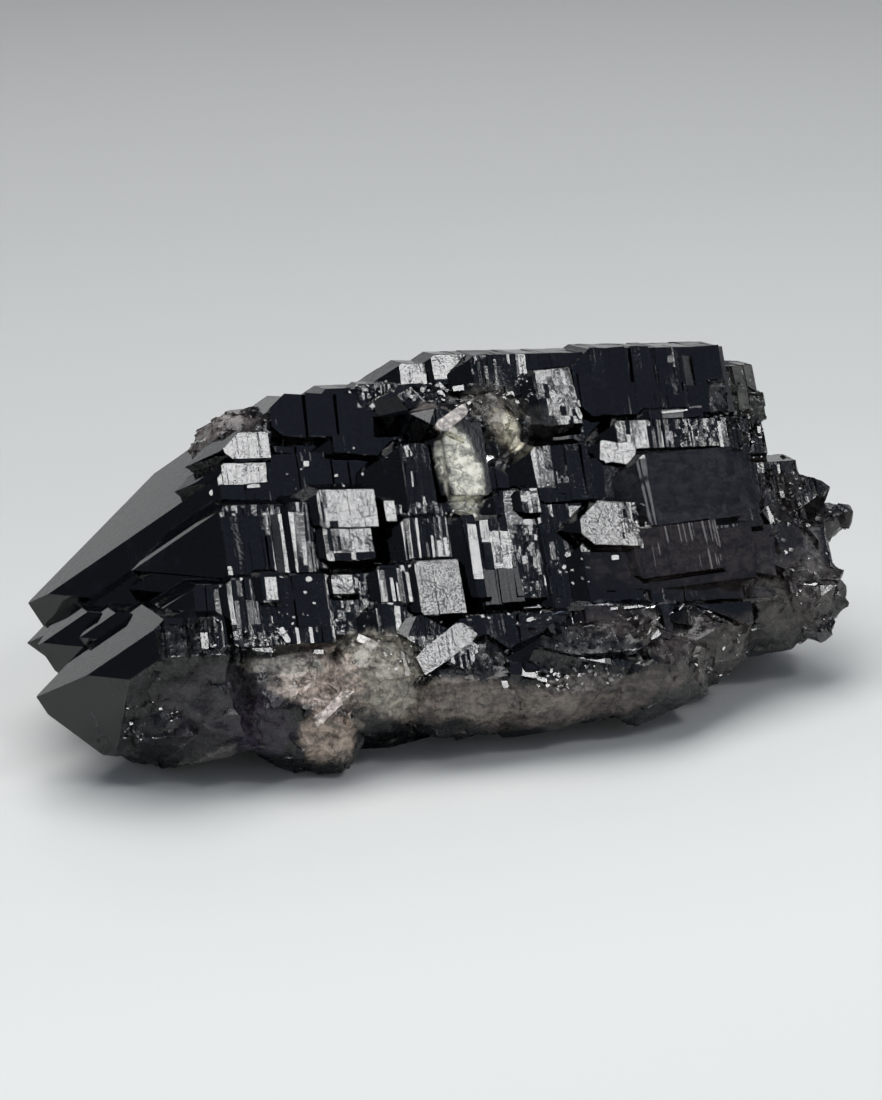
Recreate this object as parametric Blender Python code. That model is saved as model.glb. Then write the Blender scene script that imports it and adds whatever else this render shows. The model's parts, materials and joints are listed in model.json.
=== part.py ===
"""Smoky quartz cluster lying on its side.

One intergrown specimen: a bundle of parallel quartz crystals with pointed ends at the left,
stepped prism plates along the front, and a broken, rough base and right end.

The crystals share one long axis. Inside this file they are described along it, in millimetres:
  a  runs along the crystals, and the points look towards -a
  h  runs up the front prism face
  o  is how far a front prism face stands out
A prism has six sides, 60 degrees apart, named by their angle round the axis: 0 is the front
one, 60 the one above it, 300 the one below it.
"""
import math
import random

import bmesh
import bpy
from mathutils import Matrix, Vector

MM = 0.001
SEED = 7

SIDES = (0, 60, 120, 180, 240, 300)
TIP_SLOPE = math.radians(38.2)      # a tip face leans this far back from its prism side

ROLL = -39.7                        # degrees: the front side looks up by this much
PITCH = 4.5                         # degrees: the points are raised by this much
REST_HEIGHT = 23.6                  # mm from the table up to the zero of a, h and o

AXIS_H, AXIS_O = 4.0, -14.0         # where the bundle's own axis runs
REACH = {0: 9.6, 60: 18.7, 120: 20.5, 180: 12.0, 240: 18.0, 300: 25.0}

SMOKE = (0.035, 0.030, 0.032, 1.0)

# Pointed crystals: apex (a, h, o), distance from its axis to each side, right end, and how far
# the three lesser tip faces (0, 120, 240) stand off the apex.
CRYSTALS = [
    ("point_main", (-55.8, 3.8, -21.0), (21.0, 22.5, 17.0, 9.0, 17.0, 15.0), -23.0, (1.4, 0.2, 8.0)),
    ("point_second", (-44.8, -0.3, -5.5), (9.5, 11.8, 12.0, 12.0, 12.0, 7.0), -20.0, (0.0, 0.5, 4.0)),
    ("point_low", (-59.7, -15.2, -6.0), (15.0, 12.0, 9.0, 8.0, 8.0, 8.0), -36.0, (3.3, 0.2, 1.0)),
    ("point_thin", (-57.0, -5.3, -13.0), (9.0, 5.0, 7.0, 6.0, 6.0, 5.0), -36.0, (0.3, 1.5, 1.5)),
    ("point_thin_low", (-52.6, -6.9, -6.0), (7.5, 3.6, 6.0, 6.0, 6.0, 5.0), -34.0, (0.0, 1.0, 1.5)),
    ("point_back", (-41.5, 9.0, -30.0), (8.0, 10.5, 9.0, 5.0, 10.0, 9.0), -8.0, (1.5, 0.4, 3.0)),
    ("point_back_low", (-48.0, -6.0, -22.5), (8.0, 8.0, 9.0, 6.5, 7.0, 6.0), -14.0, (0.8, 0.8, 1.0)),
    ("point_back_small", (-33.0, 17.0, -27.0), (5.0, 6.0, 5.0, 5.0, 6.0, 5.0), -6.0, (0.5, 0.3, 2.0)),
]

# Plates: left, right, bottom, top, level of the front face, depth, then a small turn about the
# long axis, about h and about o, in degrees.
PLATES = [
    # the bundle's middle, hidden behind the rows
    ("inner_body", -34.0, 40.0, -13.0, 8.4, 0.7, 20.3, 0, 0, 0),
    ("inner_body_right", 36.0, 54.6, -6.5, 8.4, 0.7, 20.3, 0, 0, 0),
    ("inner_upper", 22.3, 51.7, 9.1, 24.3, -3.2, 15.1, 0, 0, 0),
    ("top_body", -12.0, 16.0, 19.0, 30.0, -6.8, 9, 0, 0, 0),
    # left shoulder, two small stacked faces
    ("shoulder_upper", -30.0, -23.1, 16.2, 20.5, 0.4, 6, 1, 0, 0),
    ("shoulder_lower", -30.6, -23.9, 12.3, 16.0, 0.0, 6, 2, 1, 0),
    # upper left, set back
    ("crest_left", -21.0, -4.0, 21.5, 28.2, -5.0, 11, -5, 3, 0),
    ("crest_left_step", -12.0, 1.5, 19.0, 26.2, -6.0, 9, 0, -2, 0),
    ("crest_chip", -25.5, -18.5, 20.0, 26.4, -6.8, 5, 6, 3, -5),
    ("recess_ledge", -24.0, 0.5, 7.5, 10.4, -0.8, 6, 0, 0, 0),
    ("recess_shelf", -13.0, 0.0, 17.4, 20.2, -2.2, 5, -3, 0, 2),
    # second row down from the top
    ("row_one_left", -33.0, -25.6, -3.2, 8.0, 4.0, 9, 0, 0, 0),
    ("row_one_band", -25.8, -23.2, -2.6, 7.8, 3.3, 8, 0, -2, 0),
    ("row_one_bright", -23.3, -20.8, -2.6, 7.9, 4.6, 8, 0, 1, 0),
    ("row_one_grey", -20.9, -18.4, -1.8, 8.2, 3.7, 8, 1, -1, 0),
    ("row_one_plate", -18.8, -10.1, 3.8, 9.5, 4.8, 9, 0, 0, 1),
    ("row_one_plate_low", -18.6, -11.4, -1.1, 4.6, 4.6, 9, 0, 0, 0),
    ("row_one_chip", -8.4, -6.8, 5.0, 8.1, 3.4, 6, 0, 0, 0),
    ("row_one_striped", -6.7, 0.2, -2.2, 4.9, 4.4, 8, 0, -1, 0),
    ("row_one_dark", -4.0, 0.6, 5.0, 17.6, 1.2, 7, 0, 2, 0),
    # third row
    ("row_two_left", -38.8, -33.4, -13.2, -4.1, 5.3, 9, 0, 3, 0),
    ("row_two_dark", -34.2, -19.6, -13.6, -3.5, 6.0, 10, 0, 0, 0),
    ("row_two_chip", -29.4, -26.6, -7.6, -3.2, 6.7, 5, 0, 0, 0),
    ("row_two_middle", -20.0, -12.6, -12.2, -3.4, 5.0, 9, 1, 1, 0),
    ("row_two_small", -19.0, -15.0, -6.6, -3.8, 6.1, 5, 0, 0, 0),
    ("row_two_block", -13.4, -9.2, -13.4, -8.4, 6.6, 8, 0, 2, 0),
    ("row_two_low", -9.6, -4.2, -12.8, -8.0, 5.3, 8, 0, 0, 0),
    ("row_two_bright", -6.6, 0.1, -10.5, -2.4, 6.6, 9, 0, 0, 0),
    ("row_two_bright_left", -12.2, -6.2, -8.3, -2.7, 6.0, 9, 0, 0, 0),
    # centre
    ("leaning_face", 2.9, 9.4, -8.8, 4.0, 5.0, 9, 0, -5, -3),
    ("leaning_edge", 2.2, 4.4, -8.0, 4.6, 5.6, 7, 0, 4, -3),
    ("window_plate", 2.3, 8.9, 8.9, 20.2, 2.0, 9, 4, -4, 0),
    ("window_slab", 1.0, 6.8, 18.4, 21.4, 3.2, 11, 2, 0, 27),
    ("centre_dark", 8.6, 15.5, -7.5, 9.0, 3.0, 9, 0, 3, 0),
    ("centre_chip", 12.4, 15.2, 5.2, 9.0, 4.0, 6, 0, 0, 0),
    ("centre_navy", 15.5, 24.6, 7.0, 15.8, 3.4, 9, 0, 0, -2),
    ("centre_low", 14.8, 22.0, -9.5, 8.0, 3.0, 9, 0, 2, 0),
    ("centre_step", 8.8, 16.0, 17.5, 24.6, -1.5, 8, 3, -6, 5),
    ("striped_face", 20.0, 26.4, 21.0, 30.0, -1.2, 9, 0, 0, -4),
    # stepped blocks along the top edge
    ("top_block_a", 0.6, 4.7, 28.8, 33.2, -5.2, 8, 0, 1, 2),
    ("top_block_b", 5.8, 11.4, 29.6, 34.4, -5.0, 8, 0, 0, 0),
    ("top_block_c", -6.4, -3.2, 26.6, 30.0, -5.4, 6, 0, 0, 0),
    ("top_block_d", -3.0, 0.4, 25.8, 29.8, -5.0, 6, 2, 0, 0),
    ("top_block_e", 2.6, 7.2, 25.2, 28.8, -4.2, 6, 0, 0, 6),
    ("top_block_f", -9.6, -6.6, 25.8, 28.4, -5.6, 6, 0, 0, 0),
    # upper right prism and the rows under it
    ("top_prism_left", 11.0, 30.0, 26.5, 33.2, -2.6, 12, 0, 0, 0),
    ("top_prism", 26.8, 52.4, 22.6, 33.5, -2.0, 13, 0, 0, 0),
    ("top_prism_end", 50.0, 57.5, 22.0, 30.8, -3.4, 12, 0, -4, 0),
    ("silver_row", 30.8, 47.2, 15.9, 20.4, 1.0, 9, 0, 0, 0),
    ("silver_row_end", 46.0, 55.6, 15.0, 21.2, -0.6, 9, 0, -3, 0),
    ("silver_ledge", 37.0, 46.0, 20.6, 22.4, 0.0, 5, 0, 0, 0),
    ("white_chip", 27.0, 32.6, 13.2, 16.4, 2.2, 6, 0, 0, 12),
    ("navy_row", 31.6, 49.8, 1.4, 13.6, 4.0, 10, 0, 0, 0),
    ("navy_row_left", 24.4, 32.4, 6.4, 14.2, 1.4, 8, 0, 2, 0),
    ("navy_row_end", 48.0, 58.5, 3.0, 12.5, 2.0, 9, 2, -5, 0),
    ("bright_block", 20.2, 29.2, -1.0, 5.8, 5.8, 8, 0, 0, 4),
    ("brown_row", 20.0, 50.0, -9.8, 0.4, 4.6, 10, 0, 0, 0),
    ("brown_row_step", 28.0, 41.0, -6.0, 1.6, 5.4, 8, 0, 0, -2),
    ("brown_row_end", 48.0, 60.5, -9.0, 2.0, 3.2, 9, 0, -4, 0),
    ("under_row_left", -1.0, 16.5, -18.0, -10.6, 5.4, 8, 0, 2, 0),
    ("under_row", 16.0, 30.0, -19.0, -11.2, 6.2, 8, 0, 0, 0),
    ("under_row_right", 29.0, 42.0, -16.6, -10.4, 5.2, 9, 0, -2, 2),
    ("ledge_plate", 17.4, 28.6, -15.6, -10.7, 7.2, 7, 0, 0, 0),
    ("ledge_plate_right", 33.6, 43.4, -14.4, -11.2, 6.6, 7, 0, 0, 3),
]

# Plates whose two left corners are cut off more than usual, as a share of their size
NOTCHED = {"shoulder_upper": 0.6, "bright_block": 0.45, "crest_left": 0.4, "top_prism": 0.3}

# Tilted chips of broken quartz, in the same form as the plates
CHIPS = [
    ("fracture_leaf", -9.6, 0.4, -17.4, -12.9, 7.8, 5, -6, 2, 33),
    ("fracture_leaf_low", -9.0, -3.5, -19.2, -16.2, 7.4, 5, -10, 0, 24),
    ("beige_slab", -25.2, -18.6, -24.8, -22.3, 5.6, 5, 0, 0, 28),
    ("lip_chip_a", 3.9, 5.6, -21.0, -19.3, 9.6, 5, 0, 0, 8),
    ("lip_chip_b", 6.2, 9.8, -20.6, -19.0, 9.8, 5, 0, 3, 4),
    ("base_chip", 26.6, 29.4, -17.2, -15.4, 8.8, 5, 0, 0, 20),
]

# Steps on the sides that the front does not show: side, left, right, bottom, top, rise, depth.
BACK_PLATES = [
    (120, -20.0, 0.0, -14.5, -6.0, 0.7, 7),
    (120, -24.0, -2.0, -5.0, 2.0, 1.6, 8),
    (120, 2.0, 24.0, -16.0, -8.0, 1.2, 7),
    (120, -1.0, 16.0, -7.0, 1.0, 0.9, 8),
    (120, 20.0, 49.0, -17.0, -10.0, 2.4, 8),
    (120, 15.0, 37.0, -9.0, -1.0, 1.7, 8),
    (120, 36.0, 52.5, -8.0, 1.0, 0.8, 8),
    (120, -14.0, -7.0, -9.5, -5.5, 2.3, 6),
    (120, 5.0, 12.5, -4.5, -1.0, 2.7, 6),
    (120, 27.0, 34.0, -6.5, -2.5, 3.0, 6),
    (120, 41.0, 47.5, -5.0, -1.5, 2.1, 6),
    (120, 9.5, 18.0, -13.5, -10.0, 2.6, 6),
    (180, -21.0, -4.0, -12.0, -3.5, -0.6, 8),
    (180, -24.0, -6.0, -2.5, 6.0, 0.8, 8),
    (180, -12.0, 10.0, -14.0, -5.0, 1.5, 8),
    (180, -6.0, 15.0, -4.0, 5.5, 2.2, 8),
    (180, 11.0, 33.0, -12.5, -3.0, 0.8, 8),
    (180, 16.0, 40.0, -2.0, 7.0, 1.4, 8),
    (180, 34.0, 52.0, -10.0, -1.0, 1.9, 8),
    (180, 40.0, 55.0, 0.0, 8.5, 0.7, 8),
    (180, -20.0, 6.0, 6.0, 13.0, 0.9, 8),
    (180, 8.0, 36.0, 8.0, 14.0, 0.4, 8),
    (180, -18.0, -10.5, 0.0, 4.0, 2.1, 6),
    (180, 20.0, 28.0, -9.5, -6.0, 2.3, 6),
    (180, 2.0, 9.0, 0.5, 4.0, 3.1, 6),
    (180, 43.0, 49.0, -7.0, -3.0, 3.0, 6),
    (180, 24.0, 31.0, 1.5, 5.0, 2.6, 6),
]

# Broken masses with flat breaks: centre (a, h, o), half sizes along a, h, o, number of breaks
CHUNKS = [
    ("base_left_toe", (-44.0, -18.5, -7.0), (7.0, 7.0, 9.0), 28),
    ("base_left", (-36.5, -17.5, -5.5), (10.0, 9.0, 10.0), 34),
    ("base_left_back", (-36.0, -10.0, -14.0), (12.0, 11.0, 9.0), 26),
    ("base_beige", (-26.5, -19.0, -2.0), (9.5, 10.0, 8.6), 36),
    ("base_beige_low", (-21.5, -22.0, -2.0), (6.5, 8.2, 6.5), 30),
    ("base_neck", (-12.0, -18.0, 0.0), (11.0, 7.6, 7.6), 34),
    ("lip_left", (0.0, -20.5, 1.2), (12.0, 7.0, 8.6), 38),
    ("lip_middle", (13.5, -20.8, 2.2), (13.5, 6.6, 8.6), 38),
    ("lip_right", (26.5, -20.0, 2.6), (11.5, 6.8, 8.6), 36),
    ("lip_end", (37.0, -14.4, -0.5), (8.6, 7.2, 8.6), 32),
    ("base_under_left", (-12.0, -14.0, -10.0), (20.0, 12.0, 10.0), 30),
    ("base_under_right", (18.0, -13.0, -9.0), (24.0, 12.0, 11.0), 30),
    ("end_body", (49.0, 5.0, -12.0), (11.0, 15.0, 11.0), 34),
    ("end_low", (48.5, -8.0, -3.5), (9.5, 8.4, 9.0), 34),
    ("end_corner", (57.5, -8.0, -2.0), (7.0, 6.6, 7.0), 32),
    ("end_middle", (57.0, -1.0, -6.0), (7.0, 7.0, 10.0), 32),
    ("end_knob", (62.6, 3.8, -2.0), (4.8, 2.9, 4.4), 26),
    ("end_shoulder", (56.0, 7.5, -6.5), (7.4, 6.8, 9.0), 32),
    ("end_upper", (52.5, 15.5, -9.0), (5.4, 8.5, 8.5), 30),
    ("end_top", (54.5, 25.0, -9.0), (3.6, 5.5, 6.0), 26),
    ("end_back", (50.0, 14.0, -20.0), (7.4, 11.0, 8.0), 30),
    ("end_back_low", (51.0, -2.0, -19.0), (8.0, 8.6, 8.0), 30),
    ("end_back_top", (50.5, 26.5, -12.0), (6.2, 7.0, 6.4), 28),
    ("back_break", (-8.0, 20.5, -17.0), (9.0, 6.5, 7.0), 30),
    ("crest_rough", (-25.5, 22.0, -8.5), (6.4, 5.2, 6.0), 28),
    ("window_rough", (12.5, 21.5, -5.5), (8.0, 7.5, 6.0), 30),
    ("window_rough_low", (11.0, 12.0, -5.0), (7.0, 7.0, 6.0), 26),
    ("top_rough", (3.0, 26.0, -8.5), (10.0, 5.0, 6.0), 30),
]


def point(a, h, o):
    """A place in the cluster's own axes, in metres."""
    return Vector((a, -o, h)) * MM


def normal(side, slope=0.0):
    """Outward direction of a prism side, or of the tip face over it when slope is given."""
    turn = math.radians(side)
    flat = math.cos(slope)
    return Vector((-math.sin(slope), -flat * math.cos(turn), flat * math.sin(turn)))


def new_block():
    """A large block to be cut down to a crystal."""
    bm = bmesh.new()
    bmesh.ops.create_cube(bm, size=0.4)
    return bm


def cut(bm, place, direction):
    """Cut away all that lies beyond a plane and close the solid with a flat face."""
    parts = bm.verts[:] + bm.edges[:] + bm.faces[:]
    bmesh.ops.bisect_plane(
        bm, geom=parts, dist=1e-7, plane_co=place, plane_no=direction, clear_outer=True
    )
    rim = [edge for edge in bm.edges if edge.is_boundary]
    if rim:
        bmesh.ops.edgeloop_fill(bm, edges=rim)


def add_object(name, bm, collection):
    """Turn the finished shape into an object that lies along the cluster's axes."""
    bmesh.ops.recalc_face_normals(bm, faces=bm.faces)
    mesh = bpy.data.meshes.new(name)
    bm.to_mesh(mesh)
    bm.free()
    obj = bpy.data.objects.new(name, mesh)
    collection.objects.link(obj)
    return obj


def crystal(name, apex, reach, right, stand_off, collection):
    """A six-sided prism with a point at its left end."""
    a, h, o = apex
    bm = new_block()
    gaps = dict(zip((0, 120, 240), stand_off))
    for side, distance in zip(SIDES, reach):
        turn = math.radians(side)
        foot = point(a, h + distance * math.sin(turn), o + distance * math.cos(turn))
        cut(bm, foot, normal(side))
        tip = normal(side, TIP_SLOPE)
        cut(bm, point(*apex) + tip * gaps.get(side, 0.0) * MM, tip)
    cut(bm, point(right, 0, 0), Vector((1, 0, 0)))
    return add_object(name, bm, collection)


def plate(name, box, level, depth, collection, side=0, turns=(0, 0, 0), notch=0.1):
    """A short prism whose front face is the given box, with bevelled sides and a sloped end."""
    left, right, bottom, top = box
    side_length = depth / math.sqrt(3)
    bm = new_block()
    cut(bm, point(0, 0, level), normal(0))
    cut(bm, point(0, 0, level - depth), normal(180))
    cut(bm, point(0, top, level), normal(60))
    cut(bm, point(0, bottom, level), normal(300))
    back = level - depth / 2
    cut(bm, point(0, top + side_length / 2, back), normal(120))
    cut(bm, point(0, bottom - side_length / 2, back), normal(240))
    cut(bm, point(left, 0, level), normal(0, TIP_SLOPE))
    corner = notch * min(top - bottom, right - left)
    cut(bm, point(left + corner, top, level), normal(60, TIP_SLOPE))
    cut(bm, point(left + 0.6 * corner, bottom, level), normal(300, TIP_SLOPE))
    cut(bm, point(right, 0, 0), Vector((1, 0, 0)))
    centre = point((left + right) / 2, (bottom + top) / 2, level)
    spin = Matrix.Translation(centre)
    for angle, axis in zip(turns, ("X", "Z", "Y")):
        spin @= Matrix.Rotation(math.radians(angle), 4, axis)
    spin @= Matrix.Translation(-centre)
    if side:
        hub = point(0, AXIS_H, AXIS_O)
        round_axis = Matrix.Rotation(math.radians(-side), 4, "X")
        spin = Matrix.Translation(hub) @ round_axis @ spin
    bmesh.ops.transform(bm, matrix=spin, verts=bm.verts)
    return add_object(name, bm, collection)


def chunk(name, centre, half, breaks, collection):
    """A broken mass: a rounded form split all round by flat breaks."""
    rng = random.Random(name + str(SEED))
    bm = bmesh.new()
    bmesh.ops.create_cube(bm, size=2.0)
    for _ in range(breaks):
        away = Vector([rng.gauss(0, 1) for _ in range(3)]).normalized()
        cut(bm, away * rng.uniform(0.84, 1.0), away)
    size = (half[0], half[2], half[1])
    for vert in bm.verts:
        vert.co = Vector([vert.co[i] * size[i] * MM for i in range(3)]) + point(*centre)
    return add_object(name, bm, collection)


def core(collection):
    """The bundle's body, which everything else has grown on."""
    bm = new_block()
    for side, distance in REACH.items():
        turn = math.radians(side)
        h = AXIS_H + distance * math.sin(turn)
        o = AXIS_O + distance * math.cos(turn)
        cut(bm, point(0, h, o), normal(side))
    cut(bm, point(-21.0, 0, 0), Vector((-1, 0, 0)))
    cut(bm, point(44.0, 0, 0), Vector((1, 0, 0)))
    # broken away under the right end
    cut(bm, point(36.0, -21.0, 0), Vector((0.6, 0, -0.8)))
    return add_object("smoky_quartz_cluster", bm, collection)


def left_body(collection):
    """The rear of the main pointed crystal, one step lower than its front."""
    bm = new_block()
    a, h, o = -46.0, 3.8, -21.0
    for side, distance in zip(SIDES, (18.0, 21.5, 16.0, 8.0, 16.0, 22.0)):
        turn = math.radians(side)
        cut(bm, point(a, h + distance * math.sin(turn), o + distance * math.cos(turn)), normal(side))
    cut(bm, point(-28.0, 0, 0), Vector((-1, 0, 0)))
    cut(bm, point(4.0, 0, 0), Vector((1, 0, 0)))
    return add_object("left_body", bm, collection)


def table_block(collection):
    """What lies below the table top, used to cut the flat places the specimen rests on."""
    bm = bmesh.new()
    bmesh.ops.create_cube(bm, size=0.4)
    for vert in bm.verts:
        vert.co.z -= 0.2
    return add_object("below_table", bm, collection)


def quartz_material():
    material = bpy.data.materials.new("smoky_quartz")
    material.use_nodes = True
    shader = material.node_tree.nodes["Principled BSDF"]
    shader.inputs["Base Color"].default_value = SMOKE
    shader.inputs["Roughness"].default_value = 0.08
    shader.inputs["Metallic"].default_value = 0.0
    shader.inputs["IOR"].default_value = 1.544
    material.diffuse_color = (0.10, 0.095, 0.10, 1.0)
    return material


def main():
    for obj in list(bpy.data.objects):
        bpy.data.objects.remove(obj)

    scene_root = bpy.context.scene.collection
    specimen = bpy.data.collections.new("smoky_quartz_specimen")
    grown = bpy.data.collections.new("grown_on")
    cutters = bpy.data.collections.new("cutters")
    for collection in (specimen, grown, cutters):
        scene_root.children.link(collection)

    lie = bpy.data.objects.new("lying_axis", None)
    lie.rotation_euler = (math.radians(ROLL), math.radians(PITCH), 0.0)
    lie.location = (0.0, 0.0, REST_HEIGHT * MM)
    specimen.objects.link(lie)

    cluster = core(specimen)
    left_body(grown)
    for name, apex, reach, right, stand_off in CRYSTALS:
        crystal(name, apex, reach, right, stand_off, grown)
    for name, left, right, bottom, top, level, depth, *turns in PLATES + CHIPS:
        notch = NOTCHED.get(name, 0.1)
        plate(name, (left, right, bottom, top), level, depth, grown, turns=turns, notch=notch)
    for count, (side, left, right, bottom, top, rise, depth) in enumerate(BACK_PLATES):
        box = (left, right, bottom, top)
        plate(f"back_plate_{count}", box, REACH[side] + rise, depth, grown, side=side)
    for name, centre, half, breaks in CHUNKS:
        chunk(name, centre, half, breaks, grown)

    cluster.parent = lie
    for obj in grown.objects:
        obj.parent = lie
        obj.hide_render = True
        obj.display_type = "WIRE"
    below = table_block(cutters)
    below.hide_render = True
    below.display_type = "WIRE"

    join = cluster.modifiers.new("grow_together", "BOOLEAN")
    join.operation = "UNION"
    join.solver = "EXACT"
    join.operand_type = "COLLECTION"
    join.collection = grown
    rest = cluster.modifiers.new("rest_flat", "BOOLEAN")
    rest.operation = "DIFFERENCE"
    rest.solver = "EXACT"
    rest.object = below
    cluster.data.materials.append(quartz_material())

    # stand the finished specimen with the middle of its footprint at the origin
    bpy.context.view_layer.update()
    shape = cluster.evaluated_get(bpy.context.evaluated_depsgraph_get())
    corners = [shape.matrix_world @ vert.co for vert in shape.data.vertices]
    middle_x = (min(c.x for c in corners) + max(c.x for c in corners)) / 2
    middle_y = (min(c.y for c in corners) + max(c.y for c in corners)) / 2
    lie.location.x -= middle_x
    lie.location.y -= middle_y
    bpy.context.view_layer.update()


main()
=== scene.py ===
"""Looks of the smoky quartz cluster: fine growth steps, broken surfaces, quartz and light.

The detailed piece is modelled in the cluster's own axes, in metres:
  x = a  along the crystals, the points look towards -a
  z = h  up the front prism face
  -y = o out of it
Sizes in the tables are millimetres along a, h and o.
"""

import json
import math
import random

import bmesh
import bpy
from mathutils import Euler, Matrix, Vector, noise
from mathutils.bvhtree import BVHTree

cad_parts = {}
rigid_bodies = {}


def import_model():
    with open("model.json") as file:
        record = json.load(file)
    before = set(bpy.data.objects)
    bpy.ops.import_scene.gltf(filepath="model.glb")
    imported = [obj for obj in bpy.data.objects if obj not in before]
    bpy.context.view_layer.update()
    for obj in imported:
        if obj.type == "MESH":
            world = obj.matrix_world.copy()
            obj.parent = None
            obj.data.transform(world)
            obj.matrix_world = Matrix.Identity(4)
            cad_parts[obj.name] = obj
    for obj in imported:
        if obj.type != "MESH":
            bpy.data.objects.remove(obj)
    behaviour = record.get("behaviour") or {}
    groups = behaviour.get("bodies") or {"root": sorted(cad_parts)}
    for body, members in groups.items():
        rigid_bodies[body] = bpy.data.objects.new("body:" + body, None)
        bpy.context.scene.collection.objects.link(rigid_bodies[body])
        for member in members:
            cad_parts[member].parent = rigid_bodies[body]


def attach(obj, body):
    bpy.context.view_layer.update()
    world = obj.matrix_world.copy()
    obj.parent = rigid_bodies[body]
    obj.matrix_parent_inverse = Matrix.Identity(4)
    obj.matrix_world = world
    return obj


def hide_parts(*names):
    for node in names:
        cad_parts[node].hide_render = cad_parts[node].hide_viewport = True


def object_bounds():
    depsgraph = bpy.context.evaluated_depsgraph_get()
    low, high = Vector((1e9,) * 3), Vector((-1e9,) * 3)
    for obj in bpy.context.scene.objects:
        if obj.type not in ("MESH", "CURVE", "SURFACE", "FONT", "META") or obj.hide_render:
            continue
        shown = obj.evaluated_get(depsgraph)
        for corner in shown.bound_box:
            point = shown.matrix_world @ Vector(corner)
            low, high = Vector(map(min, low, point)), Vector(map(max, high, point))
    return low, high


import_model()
cad_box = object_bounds()

MM = 0.001
SEED = 11

# How the faces of the crystals are told apart, in degrees, and as the part of a face's normal
# that looks along the crystals
PRISM_ANGLE = 8                     # a side of a crystal is this near to one of the six
TIP_ANGLE = 6                       # and a face of a point this near
TIP_LOOK = (-0.70, -0.53)
END_LOOK = 0.992
FRONT_ANGLE = 12                    # a side this near to the front counts as front
UNDERSIDE = (-150, -40)             # the sides that can be broken away
SHARP_EDGE = 32                     # the shading is smooth over blunter edges

# Growth steps, in mm and mm2
EDGE_MARGIN = 0.25                  # the table's edges cut off no narrower strip
SMALLEST_SIDE, SMALLEST_STEP = 0.8, 0.05
STEP_EDGE = 0.015                   # the rim left round a step
LEAST_LIFT = 0.02

# Broken ground, in mm
SHARD_SIZE = 1.8                    # the largest shard's half size
SHARDS_PER_MM2 = 0.16               # on ground that is all shards
GROUND_EDGES = (3.0, 1.5, 0.8)      # the longest edges of the ground, made finer in turn
FACETS = ((4.2, 0.08, 0.09, 1.7), (1.5, 0.05, 0.10, 9.2))  # size, step, tilt, pattern's shift
SQUARE = 0.38                       # how square the outline of a chip is, 1 for round
SCRAP_FACES = 60                    # a loose shell with fewer faces is dropped

# How the crystal axes lie in the frame, as in the model's source
ROLL, PITCH = -39.7, 4.5            # degrees
LYING_AXIS = (-3.3505, -7.532, 23.6)  # mm, the zero of a, h and o

# The photograph's view
CAMERA_PLACE = (-142.16, -396.48, 175.44)   # mm
CAMERA_AZIMUTH, CAMERA_ELEVATION = -19.66, 20.0
CAMERA_LENS = 100.0

# Lights: compass angle from +Y and height in degrees, distance in metres
WINDOW_LIGHT = (139.0, 52.0, 1.3)
HALO_LIGHT = (139.0, 52.0, 1.32)    # the softer light round the window
FRAME_LIGHT = (139.0, 50.0, 1.5)    # the faint blue light round both
BACK_LIGHT = (15.0, 35.0, 1.3)      # brings out the steps of the back
OVERHEAD_PLACE = (-0.12, 0.26, 1.05)  # metres

# How far a growth step is tilted, in degrees, from where it mirrors the middle of the window
BRIGHT_TILT = (0.0, 1.3)
SOFT_TILT = (2.5, 3.7)
DARK_TILT = (6.2, 8.0)

# Styles of prism faces: share of steps that mirror the window and share that mirror the soft
# light round it, narrowest and widest step and their usual height in mm, how mottled, how dull,
# how uneven the steps stand in mm.
STYLES = {
    "mirror": (1.00, 0.00, 1.4, 4.5, 12.0, 0.62, 0.06, 0.05),
    "speckled": (1.00, 0.00, 2.0, 5.0, 12.0, 1.20, 0.16, 0.05),
    "flecked": (1.00, 0.00, 2.0, 5.0, 12.0, 0.85, 0.12, 0.05),
    "brushed": (0.26, 0.54, 0.3, 1.2, 1.8, 0.95, 0.15, 0.12),
    "mirror_fine": (0.24, 0.34, 0.2, 0.8, 6.0, 0.50, 0.10, 0.10),
    "mottled": (0.62, 0.30, 0.6, 1.8, 2.6, 0.80, 0.10, 0.12),
    "grey": (0.08, 0.50, 0.25, 0.9, 3.0, 0.60, 0.30, 0.14),
    "glitter": (0.12, 0.30, 0.25, 0.7, 0.9, 0.90, 0.30, 0.15),
    "satin": (0.00, 0.00, 1.0, 3.0, 9.0, 0.55, 1.00, 0.08),
    "streaked": (0.12, 0.22, 0.3, 1.2, 4.0, 0.40, 0.15, 0.18),
    "navy": (0.00, 0.00, 0.9, 3.2, 8.0, 0.42, 0.10, 0.06),
    "navy_fine": (0.03, 0.10, 0.3, 1.2, 2.8, 0.60, 0.20, 0.12),
    "black": (0.00, 0.00, 2.5, 7.0, 14.0, 0.28, 0.00, 0.05),
    "milky": (0.00, 0.00, 6.0, 14.0, 30.0, 1.00, 0.80, 0.02),
    "plain": (0.02, 0.05, 1.0, 4.0, 5.0, 0.34, 0.12, 0.10),
    "pale": (0.00, 1.00, 4.0, 9.0, 12.0, 0.45, 1.20, 0.03),
    "brown": (0.00, 0.00, 6.0, 20.0, 30.0, 0.50, 0.22, 0.02),
}

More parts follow.
